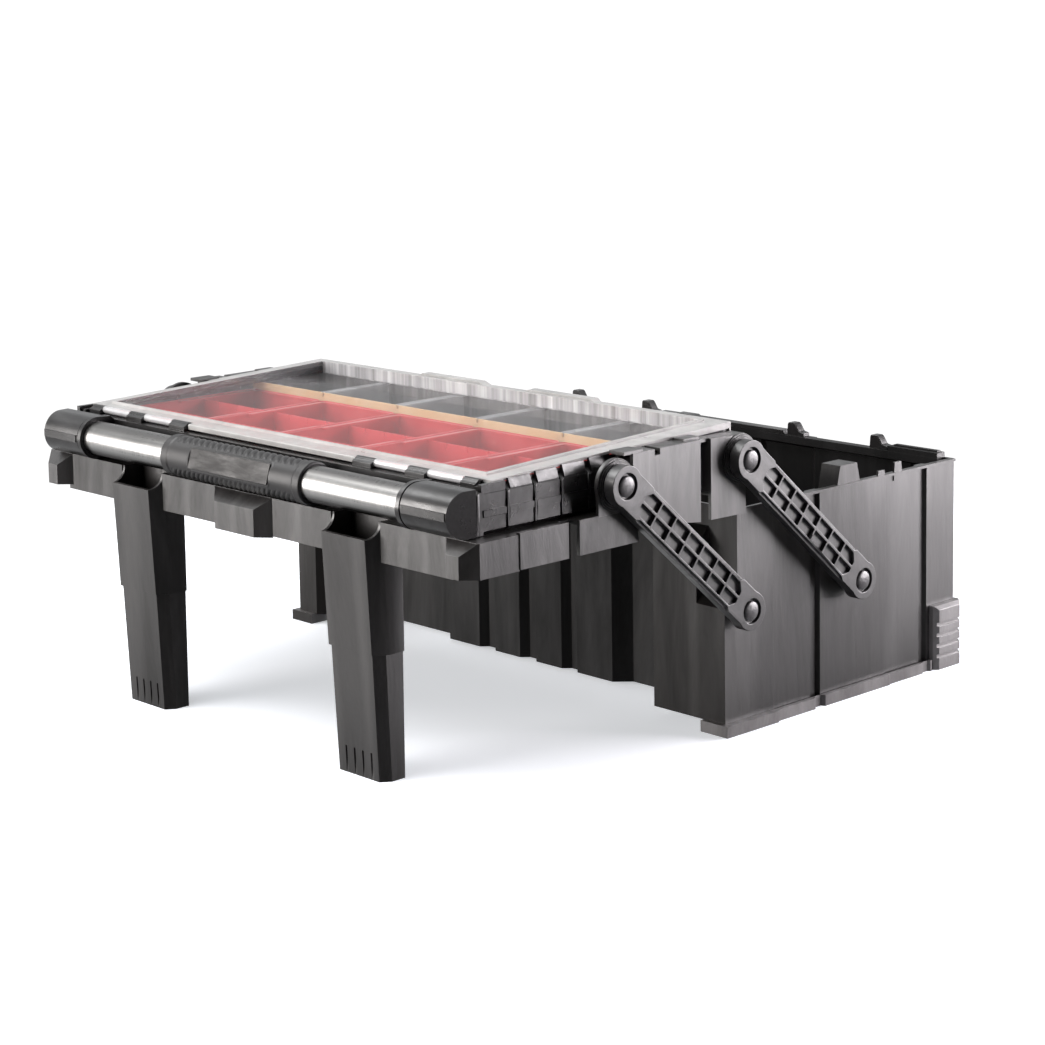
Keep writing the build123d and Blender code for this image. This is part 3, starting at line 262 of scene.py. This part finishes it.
def make_grip():
    m = Mat("grip_rubber")
    fine = m.noise(m.mapping(), 900.0, 3.0, 0.6)
    blot = m.noise(m.mapping(scale=(0.5, 1, 1)), 26.0, 4.0, 0.55)
    col = m.ramp(blot, [(0.3, (0.0075, 0.0071, 0.0074)), (0.7, (0.0175, 0.0163, 0.0168))])
    rgh = m.rng(blot, 0.36, 0.52, 0.3, 0.7)
    nrm = m.bump(fine, 0.22, 0.00018)
    m.principled(Base_Color=col, Roughness=rgh, Specular_IOR_Level=0.55, Normal=nrm)
    return m.m


MAT["grip"] = make_grip()


def clear(name, tint, body, haze, gloss, rough, wave=0.10, stretch=(1, 1, 1), span=1.14):
    """Clear moulded plastic. Light passes from both sides; only the outer
    side mirrors, and more so at low angles; haze adds a milky share."""
    m = Mat(name)
    tr = m.n("ShaderNodeBsdfTransparent")
    tr.inputs["Color"].default_value = (*tint, 1.0)
    mott = m.noise(m.mapping(scale=stretch), 40.0, 4.0, 0.55, 0.5)
    wav = m.noise(m.mapping(), 9.0, 2.0, 0.5, 0.3)
    nrm = m.bump(wav, wave, 0.0012)
    milk = m.n("ShaderNodeBsdfPrincipled")
    m.link(m.ramp(mott, [(0.3, body), (0.75, tuple(min(1.0, c * span) for c in body))]),
           milk.inputs["Base Color"])
    m.link(m.rng(mott, rough + 0.10, rough + 0.18, 0.3, 0.7), milk.inputs["Roughness"])
    m.link(nrm, milk.inputs["Normal"])
    base = m.n("ShaderNodeMixShader")
    m.link(m.rng(mott, haze * 0.9, haze * 1.1, 0.3, 0.7), base.inputs["Fac"])
    m.link(tr.outputs["BSDF"], base.inputs[1])
    m.link(milk.outputs["BSDF"], base.inputs[2])
    gl = m.n("ShaderNodeBsdfGlossy")
    m.link(m.rng(mott, rough, rough + 0.04, 0.3, 0.7), gl.inputs["Roughness"])
    m.link(nrm, gl.inputs["Normal"])
    fr = m.n("ShaderNodeFresnel")
    fr.inputs["IOR"].default_value = 1.49
    geo = m.n("ShaderNodeNewGeometry")
    outer = m.math("SUBTRACT", 1.0, geo.outputs["Backfacing"])
    fac = m.math("MULTIPLY", m.math("MULTIPLY", fr.outputs["Fac"], outer), gloss)
    fac = m.math("MINIMUM", fac, 0.62)
    mx = m.n("ShaderNodeMixShader")
    m.link(fac, mx.inputs["Fac"])
    m.link(base.outputs["Shader"], mx.inputs[1])
    m.link(gl.outputs["BSDF"], mx.inputs[2])
    m.link(mx.outputs["Shader"], m.out.inputs["Surface"])
    return m.m


MAT["lid_window"] = clear("lid_window_clear", (0.97, 0.97, 0.97), (0.62, 0.61, 0.62), 0.05, 0.36, 0.03)
MAT["lid_flange"] = clear("lid_flange_frosted", (0.80, 0.80, 0.79), (0.395, 0.388, 0.380), 0.86, 0.55, 0.17)
MAT["lid_barrel"] = clear("lid_barrel_clear", (0.93, 0.93, 0.94), (0.80, 0.80, 0.81), 0.45, 1.0, 0.08, 0.3)
# border walls: frosted like the flange, with painted vertical highlight streaks; the ±X walls get a darker
# painted-shade copy
MAT["lid_wall"] = clear("lid_wall_painted_highlight", (0.88, 0.88, 0.89), (0.36, 0.36, 0.37), 0.62, 0.9, 0.10, 0.3,
                        stretch=(3.0, 3.0, 0.10), span=2.3)
MAT["lid_side"] = clear("lid_side_painted_shade", (0.86, 0.86, 0.87), (0.115, 0.115, 0.12), 0.62, 0.9, 0.12, 0.3,
                        stretch=(3.0, 0.4, 3.0), span=1.6)


def tinted(name, dark, light, see, tint, rough):
    m = Mat(name)
    cl = m.noise(m.mapping(), 30.0, 4.0, 0.55, 0.6)
    col = m.ramp(cl, [(0.3, dark), (0.72, light)])
    p = m.n("ShaderNodeBsdfPrincipled")
    m.link(col, p.inputs["Base Color"])
    m.link(m.rng(cl, rough, rough + 0.1, 0.3, 0.7), p.inputs["Roughness"])
    m.link(m.bump(cl, 0.08, 0.0006), p.inputs["Normal"])
    p.inputs["Specular IOR Level"].default_value = 0.5
    tl = m.n("ShaderNodeBsdfTranslucent")
    m.link(col, tl.inputs["Color"])
    body = m.n("ShaderNodeMixShader")
    body.inputs["Fac"].default_value = 0.35
    m.link(p.outputs["BSDF"], body.inputs[1])
    m.link(tl.outputs["BSDF"], body.inputs[2])
    tr = m.n("ShaderNodeBsdfTransparent")
    tr.inputs["Color"].default_value = (*tint, 1.0)
    mx = m.n("ShaderNodeMixShader")
    m.link(m.rng(cl, see - 0.04, see + 0.04, 0.3, 0.7), mx.inputs["Fac"])
    m.link(body.outputs["Shader"], mx.inputs[1])
    m.link(tr.outputs["BSDF"], mx.inputs[2])
    m.link(mx.outputs["Shader"], m.out.inputs["Surface"])
    return m.m


MAT["red"] = tinted("bin_red_translucent", (0.78, 0.085, 0.10), (0.94, 0.19, 0.205), 0.32,
                    (1.0, 0.52, 0.54), 0.18)
# a lighter pink copy of the red for the rims' upward faces: painted highlight
MAT["red_rim"] = tinted("bin_rim_painted_highlight", (0.90, 0.36, 0.37), (0.97, 0.50, 0.51), 0.30,
                        (1.0, 0.60, 0.62), 0.16)
MAT["amber"] = tinted("split_amber_translucent", (0.90, 0.70, 0.42), (0.98, 0.85, 0.60), 0.34,
                      (1.0, 0.92, 0.76), 0.22)
MAT["grey_clear"] = tinted("divider_grey_translucent", (0.46, 0.46, 0.47), (0.68, 0.68, 0.69), 0.35,
                           (0.92, 0.93, 0.95), 0.2)


def make_rod():
    m = Mat("rod_steel")
    s = m.noise(m.mapping(scale=(6, 300, 300)), 3.0, 3.0, 0.5)
    m.principled(Base_Color=m.ramp(s, [(0.3, (0.38, 0.38, 0.39)), (0.7, (0.52, 0.52, 0.53))]),
                 Metallic=1.0, Roughness=m.rng(s, 0.25, 0.4, 0.3, 0.7),
                 Normal=m.bump(s, 0.1, 0.0001))
    return m.m


MAT["rod"] = make_rod()

# ------------------------------------------------------------------
# edge-rounded copies of the CAD pieces
# ------------------------------------------------------------------
def clean_mesh(node):
    src = NODES[node].data
    bm = bmesh.new()
    verts = [bm.verts.new(v.co) for v in src.vertices]
    bm.verts.ensure_lookup_table()
    for p in src.polygons:
        try:
            bm.faces.new([verts[i] for i in p.vertices])
        except ValueError:
            pass
    bmesh.ops.remove_doubles(bm, verts=bm.verts, dist=1e-6)
    bmesh.ops.recalc_face_normals(bm, faces=bm.faces)
    # pairs of coplanar triangles become quads, so bevels run cleanly
    bmesh.ops.join_triangles(bm, faces=bm.faces, angle_face_threshold=math.radians(0.6),
                             angle_shape_threshold=math.radians(179.0))
    return bm


def refine(node, mat, width=0.5, seg=2, angle=32.0, pick=None, extra=None, cut=None):
    bm = clean_mesh(node)
    if cut:
        bmesh.ops.bisect_plane(bm, geom=bm.verts[:] + bm.edges[:] + bm.faces[:], dist=1e-7,
                               plane_co=cut[0], plane_no=cut[1])
    me = bpy.data.meshes.new(node + "_shape")
    me.materials.append(mat)
    for e in (extra or []):
        me.materials.append(e)
    if pick:
        bm.faces.ensure_lookup_table()
        for f in bm.faces:
            f.material_index = pick(f.calc_center_median(), f.normal)
    bm.to_mesh(me)
    bm.free()
    for p in me.polygons:
        p.use_smooth = True
    me.set_sharp_from_angle(angle=math.radians(angle))
    ob = bpy.data.objects.new(node + "_moulding", me)
    scene.collection.objects.link(ob)
    if width:
        bv = ob.modifiers.new("edge", "BEVEL")
        bv.width = width * MM
        bv.segments = seg
        bv.limit_method = "ANGLE"
        bv.angle_limit = math.radians(angle)
        bv.use_clamp_overlap = True
        bv.harden_normals = True
        bv.miter_outer = "MITER_ARC"
    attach(ob, BODY_OF[node])
    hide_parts(node)
    return ob


def bin_pick(c, n):
    # painted shade: inside faces get a darker, duller copy of the housing
    x, y, z = c
    if z > 0.1995 or z < 0.0055:
        return 0
    if n.z > 0.9 and z < 0.1:
        return 1
    # fluted wall under the tray, also given the painted-shade copy
    if 0.024 < y < 0.0455 and -0.2 < x < 0.1925 and z < 0.183 and n.y < 0.5:
        return 1
    # front faces under the tray take the weaker-reflecting copy: painted shade
    if n.y < -0.5 and y < 0.024:
        return 2
    if n.y > 0.3 and y > 0.2:
        return 0
    if abs(n.x) > 0.5:
        return 1 if n.x * x < 0 and abs(x) > 0.24 else 0
    if n.y < -0.5 and y > 0.2:
        return 1
    if n.y > 0.3 and y < 0.06:
        return 1
    return 1 if abs(x) < 0.262 and 0.27 < y < 0.2905 else 0


refine("bin_shell", MAT["housing"], 0.45, 2, pick=bin_pick, extra=[MAT["inner"], MAT["pillar"]])
# the skirt's front faces, except at the right end, get the same painted-shade copy
refine("base_skirt", MAT["foot"], 0.5, extra=[MAT["pillar"]],
       pick=lambda c, n: 1 if n.y < -0.5 and c.x < 0.2 else 0)
for n in ("rear_bumper_right", "rear_bumper_left"):
    refine(n, MAT["foot"], 0.6)
refine("rear_rim_hooks", MAT["dark"], 0.5)
refine("rear_rim_cap", MAT["dark"], 0.4)
for n in ("arm_front_right", "arm_rear_right", "arm_front_left", "arm_rear_left"):
    refine(n, MAT["arm"], 0.5, 2)


def domed_pins(node, points, x_start, flange):
    """Plain pins with domed heads, turned on a lathe; a flange near the wall."""
    prof = []
    seat = ARM_OUT - POCKET_D + 0.35 * MM
    if flange:
        prof += [(flange, 0.0), (flange, 0.0110 - 0.0003), (flange + 0.0003, 0.0110),
                 (ARM_IN - 0.0006, 0.0110), (ARM_IN - 0.0003, 0.0107), (ARM_IN - 0.0003, PIN_R)]
    else:
        prof += [(x_start, 0.0), (x_start, PIN_R - 0.0003), (x_start + 0.0003, PIN_R)]
    prof += [(seat, PIN_R), (seat, HEAD_R - 0.0002), (seat + 0.0002, HEAD_R),
             (ARM_OUT - 0.0010, HEAD_R), (ARM_OUT - 0.0007, HEAD_R - 0.0001)]
    # dome
    rise = 0.0016
    for k in range(1, 11):
        a = math.pi / 2 * k / 10
        prof.append((ARM_OUT - 0.0007 + rise * math.sin(a), (HEAD_R - 0.0002) * math.cos(a)))
    n = 72
    bm = bmesh.new()
    for s in (1, -1):
        for y, z in points:
            rings = []
            for x, r in prof:
                if r < 1e-7:
                    rings.append([bm.verts.new((s * x, y, z))])
                else:
                    rings.append([bm.verts.new((s * x, y + r * math.cos(2 * math.pi * j / n),
                                                z + r * math.sin(2 * math.pi * j / n)))
                                  for j in range(n)])
            for p, q in zip(rings, rings[1:]):
                for j in range(n):
                    k = (j + 1) % n
                    if len(p) == 1 and len(q) == 1:
                        continue
                    if len(p) == 1:
                        bm.faces.new((p[0], q[j], q[k]))
                    elif len(q) == 1:
                        bm.faces.new((p[j], q[0], p[k]))
                    else:
                        bm.faces.new((p[j], q[j], q[k], p[k]))
    bmesh.ops.recalc_face_normals(bm, faces=bm.faces)
    me = bpy.data.meshes.new(node + "_shape")
    bm.to_mesh(me)
    bm.free()
    for f in me.polygons:
        f.use_smooth = True
    me.set_sharp_from_angle(angle=math.radians(35))
    me.materials.append(MAT["pin"])
    ob = bpy.data.objects.new(node + "_turned", me)
    scene.collection.objects.link(ob)
    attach(ob, BODY_OF[node])
    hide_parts(node)


domed_pins("lower_pivot_pins", (LOW_F, LOW_R), 0.2706, 0.27352)
domed_pins("upper_pivot_pins", (UP_F, UP_R), 0.2755, None)
refine("upper_pivot_rings", MAT["dark"], 0.25)
refine("tray_frame", MAT["housing_x"], 0.5)
for n in ("end_bracket_right", "end_bracket_left"):
    refine(n, MAT["housing"], 0.5)
for n in ("leg_socket_right", "leg_socket_left", "leg_right", "leg_left"):
    refine(n, MAT["housing"], 0.6)


def case_pick(c, n):
    # the rear row of compartments is lighter inside
    if c.y < -0.0725 or c.z > 0.2425 or abs(c.x) > 0.2572 or c.y > 0.0057:
        return 0
    if n.z > 0.9 and 0.2050 < c.z < 0.2065:
        return 1
    return 1 if (n.y < -0.9 and c.y > 0.0053) or (n.x * c.x < 0 and abs(n.x) > 0.9) else 0


def weigh(ob, width, seg, weight, clamp=True):
    """Bevel with its own width on each edge."""
    bm = bmesh.new()
    bm.from_mesh(ob.data)
    bw = bm.edges.layers.float.get("bevel_weight_edge") or bm.edges.layers.float.new("bevel_weight_edge")
    for e in bm.edges:
        if len(e.link_faces) != 2 or e.calc_face_angle(0.0) < math.radians(32):
            continue
        e[bw] = weight(e)
    bm.to_mesh(ob.data)
    bm.free()
    bv = ob.modifiers.new("edge", "BEVEL")
    bv.width = width * MM
    bv.segments = seg
    bv.limit_method = "WEIGHT"
    bv.use_clamp_overlap = clamp
    bv.harden_normals = True
    bv.miter_outer = "MITER_ARC"


def case_edge(e):
    # the ribs and the band on the two ends are well rounded
    a, b = e.verts[0].co, e.verts[1].co
    if min(abs(a.x), abs(b.x)) > 0.2637:
        return 1.0
    if min(abs(a.x), abs(b.x)) > 0.2630:
        return 0.35
    return 0.0


ob = refine("organizer_case", MAT["dark"], 0.0, pick=case_pick, extra=[MAT["comp"]],
            cut=((0, -0.0725, 0), (0, 1, 0)))
weigh(ob, 1.0, 3, case_edge, clamp=False)
refine("compartment_dividers", MAT["grey_clear"], 0.25, 1)
if "split_wall" in NODES:
    refine("split_wall", MAT["amber"], 0.25, 1)
for k in range(1, 6):
    # the long bins' upward rim faces take the painted-highlight copy
    refine("long_bin_%d" % k, MAT["red"], 0.25, 1, extra=[MAT["red_rim"]],
           pick=lambda c, n: 1 if c.z > 0.2322 and n.z > 0.5 else 0)


def lid_pick(c, n):
    # the window is clear, the flange and border are frosted, the barrels glassy
    if c.y < -0.2487 and abs(c.x) > 0.1095:
        return 2
    inside = abs(c.x) < 0.2396 and -0.2366 < c.y < -0.0034
    if inside and abs(n.z) > 0.9:
        return 1
    # upright faces around the sunk window: those facing ±X get a darker painted-shade copy, the others a
    # milky copy with painted vertical highlight streaks
    if abs(n.z) < 0.3 and abs(c.x) < 0.2413 and -0.2381 < c.y < -0.0017:
        return 4 if abs(n.x) > 0.5 else 3
    return 0


refine("organizer_lid", MAT["lid_flange"], 0.3, 1, pick=lid_pick,
       extra=[MAT["lid_window"], MAT["lid_barrel"], MAT["lid_wall"], MAT["lid_side"]])
refine("hinge_knuckles", MAT["dark"], 0.25)
refine("hinge_rods", MAT["rod"], 0.0)
refine("handle_tube", MAT["tube"], 0.3)


def ridged_grip():
    """Sleeve with slanted ridges above and below a recessed flat."""
    L, r_in = 0.091, 0.01455
    tilt = math.radians(16.0)
    nu, nv = 366, 264
    bm = bmesh.new()

    def radius(x, v):
        # v is measured from the front, positive upwards
        ax = abs(x)
        r = 0.01672
        dv = math.atan2(math.sin(v - tilt), math.cos(v - tilt))
        # ridged bands: above the plate and below it
        up = min(max((dv - 0.70) / 0.10, 0.0), 1.0) * min(max((2.30 - dv) / 0.16, 0.0), 1.0)
        dn = min(max((-0.70 - dv) / 0.10, 0.0), 1.0) * min(max((dv + 1.75) / 0.16, 0.0), 1.0)
        band = max(up, dn) * min(max((0.080 - ax) / 0.004, 0.0), 1.0)
        if up > 0:
            ph = (x + 0.75 * 0.0168 * dv) / 0.0078
        else:
            ph = (x - 0.95 * 0.0168 * dv) / 0.0062
        w = 0.5 + 0.5 * math.cos(2 * math.pi * ph)
        w = w ** 0.45
        r += band * (0.00125 * w - 0.00095)
        # smooth cuffs at both ends
        cuff = min(max((ax - 0.0815) / 0.0015, 0.0), 1.0)
        r = r + (0.01736 - r) * cuff
        # rounded end edges
        d = L - ax
        if d < 0.0014:
            r -= 0.0014 - math.sqrt(max(0.0, 0.0014 ** 2 - (0.0014 - d) ** 2))
        # recess with rounded corners
        tx, ty = ax - (0.0522 - 0.003), abs(0.0167 * math.sin(dv)) - (0.00875 - 0.003)
        if math.cos(dv) > 0.3:
            out = math.hypot(max(tx, 0.0), max(ty, 0.0)) + min(max(tx, ty), 0.0) - 0.003
            k = min(max(0.5 - out / 0.0006, 0.0), 1.0)
            k = k * k * (3 - 2 * k)
            flat = 0.01512 / max(math.cos(dv), 0.3)
            if flat < r:
                r = r + (flat - r) * k
            # raised lip around the recess
            lip = max(0.0, 1.0 - abs(out - 0.0011) / 0.0009)
            r += 0.00028 * lip
        return min(r, 0.01738)

    ring = []
    for i in range(nu + 1):
        x = -L + 2 * L * i / nu
        row = []
        for j in range(nv):
            v = 2 * math.pi * j / nv
            r = radius(x, v)
            row.append(bm.verts.new((x, HANDLE_Y - r * math.cos(v), HANDLE_Z + r * math.sin(v))))
        ring.append(row)
    for i in range(nu):
        for j in range(nv):
            k = (j + 1) % nv
            bm.faces.new((ring[i][j], ring[i + 1][j], ring[i + 1][k], ring[i][k]))
    # ends and bore
    inner = []
    for x in (-L, L):
        inner.append([bm.verts.new((x, HANDLE_Y - r_in * math.cos(2 * math.pi * j / nv),
                                    HANDLE_Z + r_in * math.sin(2 * math.pi * j / nv)))
                      for j in range(nv)])
    for j in range(nv):
        k = (j + 1) % nv
        bm.faces.new((ring[0][j], ring[0][k], inner[0][k], inner[0][j]))
        bm.faces.new((ring[nu][k], ring[nu][j], inner[1][j], inner[1][k]))
        bm.faces.new((inner[0][j], inner[0][k], inner[1][k], inner[1][j]))
    bmesh.ops.recalc_face_normals(bm, faces=bm.faces)
    me = bpy.data.meshes.new("grip_sleeve")
    bm.to_mesh(me)
    bm.free()
    for p in me.polygons:
        p.use_smooth = True
    me.set_sharp_from_angle(angle=math.radians(50))
    me.materials.append(MAT["grip"])
    ob = bpy.data.objects.new("grip_sleeve", me)
    scene.collection.objects.link(ob)
    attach(ob, BODY_OF["handle_grip"])
    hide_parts("handle_grip")


ridged_grip()
refine("grip_plate", MAT["plate"], 0.2)
for n in ("handle_cap_right", "handle_cap_left"):
    ob = refine(n, MAT["dark"], 0.0)

    def cap_edge(e):
        ends = [abs(f.normal.x) > 0.95 and abs(f.calc_center_median().x) > 0.2600 for f in e.link_faces]
        return 1.0 if any(ends) else 0.16

    weigh(ob, 2.6, 4, cap_edge)

# ------------------------------------------------------------------
# stage: pale floor, soft studio light
# ------------------------------------------------------------------
def floor():
    me = bpy.data.meshes.new("floor_sheet")
    s, n = 1.5, 30
    vs = [(-s + 2 * s * i / n, -s + 2 * s * j / n, 0.0) for j in range(n + 1) for i in range(n + 1)]
    fs = [(j * (n + 1) + i, j * (n + 1) + i + 1, (j + 1) * (n + 1) + i + 1, (j + 1) * (n + 1) + i)
          for j in range(n) for i in range(n)]
    me.from_pydata(vs, [], fs)
    ob = bpy.data.objects.new("floor", me)
    scene.collection.objects.link(ob)
    m = Mat("floor_paper")
    nz = m.noise(m.mapping(), 3.0, 3.0, 0.5)
    col = m.ramp(nz, [(0.3, FLOOR_LOW), (0.7, FLOOR_HIGH)])
    d0 = m.n("ShaderNodeBsdfDiffuse")
    m.link(col, d0.inputs["Color"])
    em = m.n("ShaderNodeEmission")
    em.inputs["Color"].default_value = (0.955, 0.975, 1.0, 1.0)
    em.inputs["Strength"].default_value = 0.47
    d = m.n("ShaderNodeAddShader")
    m.link(d0.outputs["BSDF"], d.inputs[0])
    m.link(em.outputs["Emission"], d.inputs[1])
    # the sheet fades out well away from the object
    ln = m.n("ShaderNodeVectorMath", operation="LENGTH")
    m.link(m.mapping(scale=(1.0, 1.0, 0.0)), ln.inputs[0])
    fade = m.rng(ln.outputs["Value"], 0.0, 1.0, 0.62, 1.15)
    fade.node.interpolation_type = "SMOOTHSTEP"
    tr = m.n("ShaderNodeBsdfTransparent")
    mx = m.n("ShaderNodeMixShader")
    m.link(fade, mx.inputs["Fac"])
    m.link(d.outputs["Shader"], mx.inputs[1])
    m.link(tr.outputs["BSDF"], mx.inputs[2])
    m.link(mx.outputs["Shader"], m.out.inputs["Surface"])
    me.materials.append(m.m)
    return ob


FLOOR_LOW = (0.86, 0.885, 0.93)
FLOOR_HIGH = (0.87, 0.895, 0.94)
FLOOR = floor()
FLOOR.visible_glossy = False     # the satin faces mirror the dim room, not the paper


def area(name, at, look, size, power, color=(1, 1, 1), spread=180.0):
    L = bpy.data.lights.new(name, "AREA")
    L.shape = "RECTANGLE"
    L.size, L.size_y = size
    L.energy = power
    L.color = color
    L.spread = math.radians(spread)
    o = bpy.data.objects.new(name, L)
    scene.collection.objects.link(o)
    o.location = at
    d = Vector(look) - Vector(at)
    o.rotation_euler = d.to_track_quat("-Z", "Y").to_euler()
    return o


area("soft_left_front", (-2.0, -3.7, 0.72), (0.1, -0.1, 0.14), (3.4, 2.3), 250.0, (1.0, 0.962, 0.940))
area("soft_right_rear", (1.45, 2.05, 0.60), (0.1, 0.1, 0.14), (2.2, 1.5), 152.0, (1.0, 0.950, 0.982))
area("soft_top", (-0.6, -0.8, 2.2), (0, 0, 0), (2.2, 1.8), 72.0)

world = bpy.data.worlds.new("studio")
scene.world = world
world.use_nodes = True
wt = world.node_tree
wt.nodes.clear()
wo = wt.nodes.new("ShaderNodeOutputWorld")
bg_cam = wt.nodes.new("ShaderNodeBackground")
bg_cam.inputs["Color"].default_value = (1, 1, 1, 1)
bg_cam.inputs["Strength"].default_value = 1.05
bg_env = wt.nodes.new("ShaderNodeBackground")
lp = wt.nodes.new("ShaderNodeLightPath")
tc = wt.nodes.new("ShaderNodeTexCoord")


def wnode(kind, **kw):
    nd = wt.nodes.new(kind)
    for k, v in kw.items():
        setattr(nd, k, v)
    return nd


# the room is bright behind the object and dark in front of it
dot = wnode("ShaderNodeVectorMath", operation="DOT_PRODUCT")
dot.inputs[1].default_value = (0.727, -0.687, 0.0)
wt.links.new(tc.outputs["Generated"], dot.inputs[0])
side = wnode("ShaderNodeMapRange", interpolation_type="SMOOTHSTEP")
side.inputs["From Min"].default_value = 0.25
side.inputs["From Max"].default_value = -0.55
side.inputs["To Min"].default_value = 0.03
side.inputs["To Max"].default_value = 0.70
wt.links.new(dot.outputs["Value"], side.inputs["Value"])
wt.links.new(side.outputs["Result"], bg_env.inputs["Strength"])
bg_env.inputs["Color"].default_value = (0.97, 0.985, 1.0, 1)
wm = wt.nodes.new("ShaderNodeMixShader")
wt.links.new(lp.outputs["Is Camera Ray"], wm.inputs["Fac"])
wt.links.new(bg_env.outputs[0], wm.inputs[1])
wt.links.new(bg_cam.outputs[0], wm.inputs[2])
wt.links.new(wm.outputs[0], wo.inputs["Surface"])

scene.view_settings.view_transform = "Standard"
scene.view_settings.look = "None"
scene.view_settings.exposure = 0.0

# ------------------------------------------------------------------
# camera at the photograph's angle
# ------------------------------------------------------------------
AZ, EL, ROLL = 46.58, 6.94, -0.91
CAM_AT = Vector((1.57490, -1.46264, 0.60107))
F_PX, CX, CY, FRAME_PX = 2486.48, 520.02, 289.55, 1045.0
a, e, r = (math.radians(v) for v in (AZ, EL, ROLL))
back = Vector((math.sin(a) * math.cos(e), -math.cos(a) * math.cos(e), math.sin(e)))
fwd = -back
right = fwd.cross(Vector((0, 0, 1))).normalized()
up = right.cross(fwd)
r2 = right * math.cos(r) + up * math.sin(r)
u2 = -right * math.sin(r) + up * math.cos(r)
cam = bpy.data.cameras.new("photo_camera")
cam.sensor_fit = "AUTO"
cam.sensor_width = 36.0
cam.lens = F_PX / FRAME_PX * 36.0
cam.shift_x = -(CX - FRAME_PX / 2) / FRAME_PX
cam.shift_y = (CY - FRAME_PX / 2) / FRAME_PX
cam.clip_start = 0.05
cam.clip_end = 50.0
co = bpy.data.objects.new("photo_camera", cam)
scene.collection.objects.link(co)
co.matrix_world = Matrix((
    (r2.x, u2.x, back.x, CAM_AT.x),
    (r2.y, u2.y, back.y, CAM_AT.y),
    (r2.z, u2.z, back.z, CAM_AT.z),
    (0, 0, 0, 1)))
scene.camera = co
